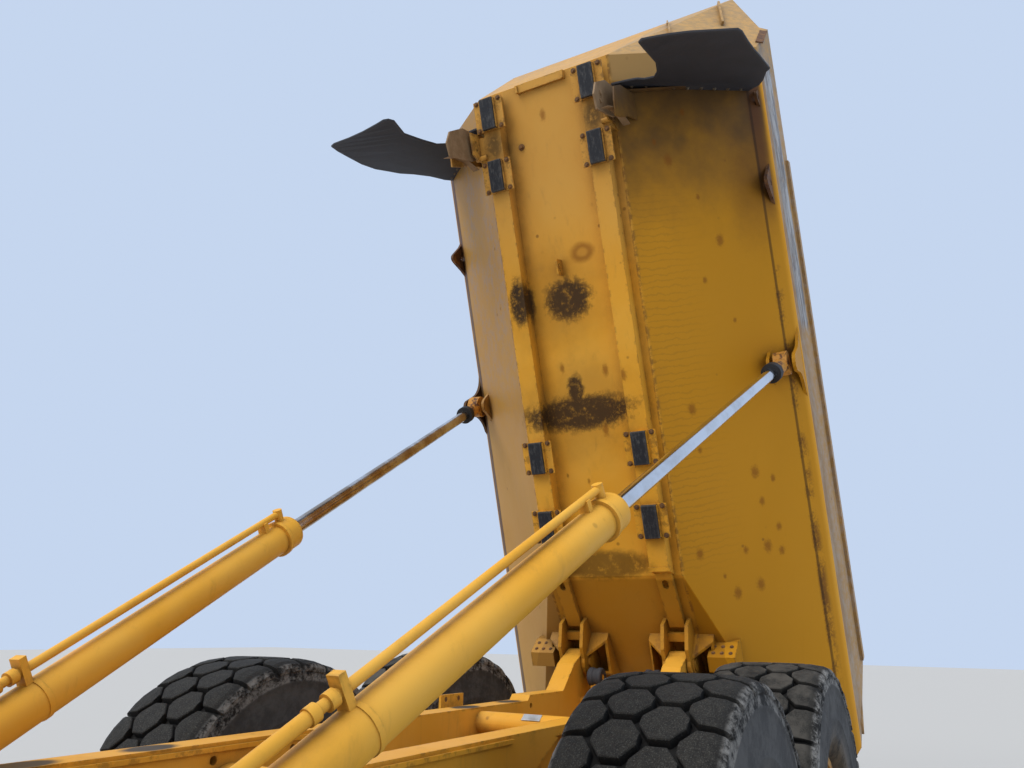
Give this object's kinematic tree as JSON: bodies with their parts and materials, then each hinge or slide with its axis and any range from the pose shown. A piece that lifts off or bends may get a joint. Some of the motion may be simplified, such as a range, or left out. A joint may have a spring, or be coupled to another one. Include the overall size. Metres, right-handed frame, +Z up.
{
  "type": "articulated dump truck",
  "caption": "Six-wheel articulated dump truck with a frame-steered tractor, hoist cylinders and its dump body standing raised.",
  "frame": {"origin": "on the ground, at the centre of the footprint of the bounding box", "axes": "+X forward, +Y to the vehicle's left, +Z up"},
  "size_m": [10.549, 2.95, 6.891],
  "materials": {
    "yellow_paint": "weathered golden-yellow enamel with rust spots, grime and scratches",
    "rim_paint": "dusty yellow enamel",
    "dark_paint": "satin charcoal enamel",
    "dark_iron": "oily bare iron",
    "chrome": "polished hydraulic rod",
    "tyre": "dusty earthmover rubber",
    "rubber": "matt black rubber",
    "glass": "lightly tinted safety glass",
    "cab_trim": "grained grey plastic and cloth",
    "lamp": "clear lamp lens"
  },
  "bodies": {
    "rear_frame": {"rear_frame": "yellow_paint", "bogie_beams": "yellow_paint", "rear_axles": "yellow_paint", "rear_shafts": "dark_iron"},
    "hitch_yoke": {"hitch_yoke": "yellow_paint"},
    "tractor": {"front_frame": "yellow_paint", "front_axle": "yellow_paint", "engine_block": "dark_iron", "cab_shell": "yellow_paint", "cab_glass": "glass", "seat": "cab_trim", "console": "cab_trim", "front_guard": "dark_paint", "lamps": "lamp", "fenders": "yellow_paint", "steps": "dark_paint", "side_tank": "yellow_paint", "exhaust": "dark_iron", "mirrors": "dark_paint"},
    "cab_door": {"cab_door": "yellow_paint", "door_glass": "glass"},
    "hood": {"hood": "yellow_paint", "grille": "dark_paint"},
    "dump_body": {"dump_tub": "yellow_paint", "body_underframe": "yellow_paint", "body_pads": "rubber", "mudflaps": "rubber"},
    "hoist_tube_left": {"hoist_tube_left": "yellow_paint"},
    "hoist_rod_left": {"hoist_rod_left": "chrome"},
    "steer_tube_left": {"steer_tube_left": "yellow_paint"},
    "steer_rod_left": {"steer_rod_left": "chrome"},
    "hoist_tube_right": {"hoist_tube_right": "yellow_paint"},
    "hoist_rod_right": {"hoist_rod_right": "chrome"},
    "steer_tube_right": {"steer_tube_right": "yellow_paint"},
    "steer_rod_right": {"steer_rod_right": "chrome"},
    "wheel_front_left": {"tyre_front_left": "tyre", "rim_front_left": "rim_paint"},
    "wheel_front_right": {"tyre_front_right": "tyre", "rim_front_right": "rim_paint"},
    "wheel_mid_left": {"tyre_mid_left": "tyre", "rim_mid_left": "rim_paint"},
    "wheel_mid_right": {"tyre_mid_right": "tyre", "rim_mid_right": "rim_paint"},
    "wheel_rear_left": {"tyre_rear_left": "tyre", "rim_rear_left": "rim_paint"},
    "wheel_rear_right": {"tyre_rear_right": "tyre", "rim_rear_right": "rim_paint"}
  },
  "joints": [
    {"name": "roll", "type": "hinge", "parent": "rear_frame", "child": "hitch_yoke", "pos_m": [0.90048, 0, 1.05], "axis": [1, 0, 0], "range_deg": [-15, 15]},
    {"name": "steer", "type": "hinge", "parent": "hitch_yoke", "child": "tractor", "pos_m": [1.30048, 0, 1.05], "axis": [0, 0, 1], "range_deg": [-45, 45]},
    {"name": "dump", "type": "hinge", "parent": "rear_frame", "child": "dump_body", "pos_m": [-3.98052, 0, 1.552], "axis": [0, 1, 0], "range_deg": [0, 71.44]},
    {"name": "hoist_swing_left", "type": "hinge", "parent": "rear_frame", "child": "hoist_tube_left", "pos_m": [0.51448, 0.615, 1.07], "axis": [-0.3742, -0.8019, -0.4658], "range_deg": [-1, 10.56]},
    {"name": "hoist_stroke_left", "type": "slide", "parent": "hoist_tube_left", "child": "hoist_rod_left", "axis": [-0.8656, 0.1219, 0.4856], "range_m": [-2.2324, 0.02]},
    {"name": "hoist_swing_right", "type": "hinge", "parent": "rear_frame", "child": "hoist_tube_right", "pos_m": [0.51448, -0.615, 1.07], "axis": [0.3742, -0.8019, 0.4658], "range_deg": [-1, 10.56]},
    {"name": "hoist_stroke_right", "type": "slide", "parent": "hoist_tube_right", "child": "hoist_rod_right", "axis": [-0.8656, -0.1219, 0.4856], "range_m": [-2.2324, 0.02]},
    {"name": "steer_swing_left", "type": "hinge", "parent": "tractor", "child": "steer_tube_left", "pos_m": [2.15048, 0.6, 1.05], "axis": [0, 0, 1], "range_deg": [-4.34, 4.34]},
    {"name": "steer_stroke_left", "type": "slide", "parent": "steer_tube_left", "child": "steer_rod_left", "axis": [-0.9753, -0.2208, 0], "range_m": [-0.2937, 0.2937]},
    {"name": "steer_swing_right", "type": "hinge", "parent": "tractor", "child": "steer_tube_right", "pos_m": [2.15048, -0.6, 1.05], "axis": [0, 0, 1], "range_deg": [-4.34, 4.34]},
    {"name": "steer_stroke_right", "type": "slide", "parent": "steer_tube_right", "child": "steer_rod_right", "axis": [-0.9753, 0.2208, 0], "range_m": [-0.2937, 0.2937]},
    {"name": "cab_door", "type": "hinge", "parent": "tractor", "child": "cab_door", "pos_m": [2.16848, 0.762, 2.2], "axis": [0, 0, 1], "range_deg": [0, 85]},
    {"name": "hood", "type": "hinge", "parent": "tractor", "child": "hood", "pos_m": [4.91048, 0, 1.18], "axis": [0, 1, 0], "range_deg": [0, 60]},
    {"name": "wheel_front_left", "type": "hinge", "parent": "tractor", "child": "wheel_front_left", "pos_m": [2.51048, 1.13, 0.8], "axis": [0, 1, 0], "continuous": true},
    {"name": "wheel_front_right", "type": "hinge", "parent": "tractor", "child": "wheel_front_right", "pos_m": [2.51048, -1.13, 0.8], "axis": [0, 1, 0], "continuous": true},
    {"name": "wheel_mid_left", "type": "hinge", "parent": "rear_frame", "child": "wheel_mid_left", "pos_m": [-1.66452, 1.13, 0.8], "axis": [0, 1, 0], "continuous": true},
    {"name": "wheel_mid_right", "type": "hinge", "parent": "rear_frame", "child": "wheel_mid_right", "pos_m": [-1.66452, -1.13, 0.8], "axis": [0, 1, 0], "continuous": true},
    {"name": "wheel_rear_left", "type": "hinge", "parent": "rear_frame", "child": "wheel_rear_left", "pos_m": [-3.33452, 1.13, 0.8], "axis": [0, 1, 0], "continuous": true},
    {"name": "wheel_rear_right", "type": "hinge", "parent": "rear_frame", "child": "wheel_rear_right", "pos_m": [-3.33452, -1.13, 0.8], "axis": [0, 1, 0], "continuous": true}
  ],
  "couplings": [
    {"joint": "hoist_swing_left", "follows": "dump", "ratio": 0.13388},
    {"joint": "hoist_stroke_left", "follows": "dump", "m_per_rad": -1.7864},
    {"joint": "hoist_swing_right", "follows": "dump", "ratio": 0.13388},
    {"joint": "hoist_stroke_right", "follows": "dump", "m_per_rad": -1.7864},
    {"joint": "steer_swing_left", "follows": "steer", "ratio": -0.074281},
    {"joint": "steer_stroke_left", "follows": "steer", "m_per_rad": -0.36754},
    {"joint": "steer_swing_right", "follows": "steer", "ratio": -0.074281},
    {"joint": "steer_stroke_right", "follows": "steer", "m_per_rad": 0.36754}
  ]
}
